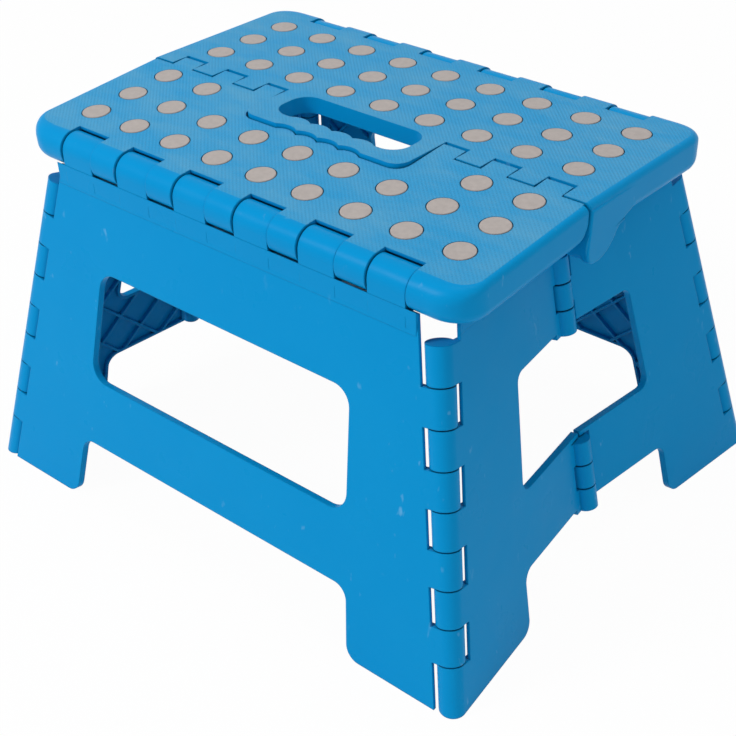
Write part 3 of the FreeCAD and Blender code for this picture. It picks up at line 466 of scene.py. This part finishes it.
class STOOL_OT_flaps(Operator):
    """Cover the lobes at the ends of the ridge with drop-shaped flaps."""

    bl_idname = "stool.flaps"
    bl_label = "Ridge Flaps"

    def execute(self, context):
        for name, side in (("right_flap", 1.0), ("left_flap", -1.0)):
            piece = add_piece(name, self.flap(side), bpy.data.materials["platform_plastic"], "rear_platform")
        return {"FINISHED"}

    def flap(self, side):
        """Drop-shaped plate, rounded below, whose face runs out on the platform's end."""
        mesh = bmesh.new()
        verts = [mesh.verts.new((PLATFORM_END - 0.0025, y, z)) for y, z in FLAP]
        mesh.faces.new(verts)
        for rounded, radius in ((verts[1:3], 0.009), (verts[3:4], 0.0062)):
            bmesh.ops.bevel(mesh, geom=rounded, offset=radius, offset_type="OFFSET", segments=8, profile=0.5,
                            affect="VERTICES", material=-1)
        mesh.faces.ensure_lookup_table()
        outer = push(mesh, mesh.faces[0], (0.00395, 0.0, 0.0))
        round_rim(mesh, outer, 0.0012, 3)
        run_out, lean, depth = -0.028, -0.02, 0.033
        slant = Matrix.Identity(4)
        slant[0][1], slant[0][2], slant[0][3] = run_out, lean, lean * depth
        mirrored = Matrix.Diagonal((side, 1.0, 1.0, 1.0))
        bmesh.ops.transform(mesh, matrix=half_matrix(False) @ mirrored @ slant, verts=mesh.verts)
        return mesh


class STOOL_OT_pins(Operator):
    """Finish the hinge pins in drawn steel."""

    bl_idname = "stool.pins"
    bl_label = "Hinge Pins"

    def execute(self, context):
        dress(PIN_NODES, drawn_steel())
        return {"FINISHED"}


class STOOL_OT_pads(Operator):
    """Set soft pads with rounded rims in the platform's recesses."""

    bl_idname = "stool.pads"
    bl_label = "Grip Pads"

    def execute(self, context):
        settings = context.scene.stool_pads
        material = pad_rubber(settings)
        for half, front in (("front", True), ("rear", False)):
            piece = add_piece(half + "_pads", self.pads(settings, front), material, half + "_platform")
            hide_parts(half + "_grip_pads")
        return {"FINISHED"}

    def places(self, settings, front):
        """Middles of a half's pads; the handle takes the place of some in the front half's first row."""
        shift = RIDGE_PIN_DEPTH * math.sin(math.radians(HALF_SLOPE))
        middle = settings.columns // 2
        for row in range(settings.rows):
            for column in range(-middle, middle + 1):
                x = column * settings.along
                if front and row == 0 and abs(x) < HANDLE_CLEAR:
                    continue
                yield Vector((x, settings.first_row - shift + row * settings.across, 0.0))

    def pads(self, settings, front):
        """Discs with rounded rims, all of one half in one mesh."""
        mesh = bmesh.new()
        place = half_matrix(front)
        up = place.to_3x3() @ Vector((0.0, 0.0, settings.thickness))
        for spot in self.places(settings, front):
            base = Matrix.Translation(spot + Vector((0.0, 0.0, settings.proud - settings.thickness)))
            ring = bmesh.ops.create_circle(
                mesh, cap_ends=True, radius=settings.diameter / 2, segments=32, matrix=place @ base)
            top = push(mesh, ring["verts"][0].link_faces[0], up)
            round_rim(mesh, top, 0.0004, 2)
        return mesh


class STOOL_OT_stage(Operator):
    """Set up the floor, the lamps, the world and the camera."""

    bl_idname = "stool.stage"
    bl_label = "Studio"

    def execute(self, context):
        settings = context.scene.stool_stage
        if settings.show_floor:
            self.floor(settings)
        self.world(context.scene)
        for name, place, size, power in LAMPS:
            self.lamp(name, place, size, power)
        self.camera(context.scene, settings)
        context.scene.view_settings.view_transform = "Standard"
        return {"FINISHED"}

    def floor(self, settings):
        mesh = bmesh.new()
        bmesh.ops.create_grid(mesh, x_segments=1, y_segments=1, size=30.0)
        data = bpy.data.meshes.new("floor")
        mesh.to_mesh(data)
        mesh.free()
        floor = bpy.data.objects.new("floor", data)
        bpy.context.scene.collection.objects.link(floor)
        data.materials.append(self.floor_material(settings))

    def floor_material(self, settings):
        nodes = Nodes("studio_floor")
        shader = nodes.shader
        shader.inputs["Roughness"].default_value = 0.9
        shader.inputs["Base Color"].default_value = (*settings.floor_colour, 1.0)
        glow = nodes.add("ShaderNodeEmission")
        share = nodes.add("ShaderNodeMath", operation="MULTIPLY")
        nodes.join(background_rays(nodes.tree), share.inputs[0])
        share.inputs[1].default_value = 0.97
        mixed = nodes.add("ShaderNodeMixShader")
        nodes.join(share.outputs["Value"], mixed.inputs["Fac"])
        nodes.join(shader.outputs["BSDF"], mixed.inputs[1])
        nodes.join(glow.outputs["Emission"], mixed.inputs[2])
        nodes.join(mixed.outputs["Shader"], nodes.tree.nodes["Material Output"].inputs["Surface"])
        return nodes.material

    def world(self, scene):
        world = bpy.data.worlds.new("studio")
        scene.world = world
        world.use_nodes = True
        tree = world.node_tree
        background = tree.nodes["Background"]
        background.inputs["Color"].default_value = (1.0, 1.0, 1.0, 1.0)
        level = tree.nodes.new("ShaderNodeMapRange")
        level.inputs["To Min"].default_value = 0.40
        level.inputs["To Max"].default_value = 1.0
        tree.links.new(background_rays(tree), level.inputs["Value"])
        tree.links.new(level.outputs["Result"], background.inputs["Strength"])

    def lamp(self, name, place, size, power):
        data = bpy.data.lights.new(name, "AREA")
        data.shape = "DISK"
        data.size = size
        data.energy = power
        lamp = bpy.data.objects.new(name, data)
        lamp.location = place
        target = Vector((0.0, 0.0, 0.12))
        lamp.rotation_euler = (target - lamp.location).to_track_quat("-Z", "Y").to_euler()
        bpy.context.scene.collection.objects.link(lamp)

    def camera(self, scene, settings):
        data = bpy.data.cameras.new("camera")
        data.lens = settings.lens
        data.sensor_width = 36.0
        data.clip_start = 0.01
        camera = bpy.data.objects.new("camera", data)
        camera.location = settings.camera_place
        camera.rotation_euler = settings.camera_turn
        scene.collection.objects.link(camera)
        scene.camera = camera


class STOOL_PT_panel(Panel):
    """Buttons and settings of the stool."""

    bl_label = "Folding Step Stool"
    bl_space_type = "VIEW_3D"
    bl_region_type = "UI"
    bl_category = "Stool"

    def draw(self, context):
        for operator in OPERATORS:
            self.layout.operator(operator.bl_idname)
        for settings in (context.scene.stool_plastic, context.scene.stool_pads, context.scene.stool_stage):
            box = self.layout.box()
            for key in settings.__annotations__:
                box.prop(settings, key)


OPERATORS = (STOOL_OT_platform, STOOL_OT_legs, STOOL_OT_heads, STOOL_OT_lips, STOOL_OT_flaps, STOOL_OT_pins,
             STOOL_OT_pads, STOOL_OT_stage)
CLASSES = (PlasticSettings, PadSettings, StageSettings) + OPERATORS + (STOOL_PT_panel,)


def register():
    for item in CLASSES:
        bpy.utils.register_class(item)
    bpy.types.Scene.stool_plastic = PointerProperty(type=PlasticSettings)
    bpy.types.Scene.stool_pads = PointerProperty(type=PadSettings)
    bpy.types.Scene.stool_stage = PointerProperty(type=StageSettings)


def unregister():
    del bpy.types.Scene.stool_stage
    del bpy.types.Scene.stool_pads
    del bpy.types.Scene.stool_plastic
    for item in reversed(CLASSES):
        bpy.utils.unregister_class(item)


def main():
    register()
    bpy.ops.stool.platform()
    bpy.ops.stool.legs()
    bpy.ops.stool.heads()
    bpy.ops.stool.lips()
    bpy.ops.stool.flaps()
    bpy.ops.stool.pins()
    bpy.ops.stool.pads()
    bpy.ops.stool.stage()


if __name__ == "__main__":
    main()
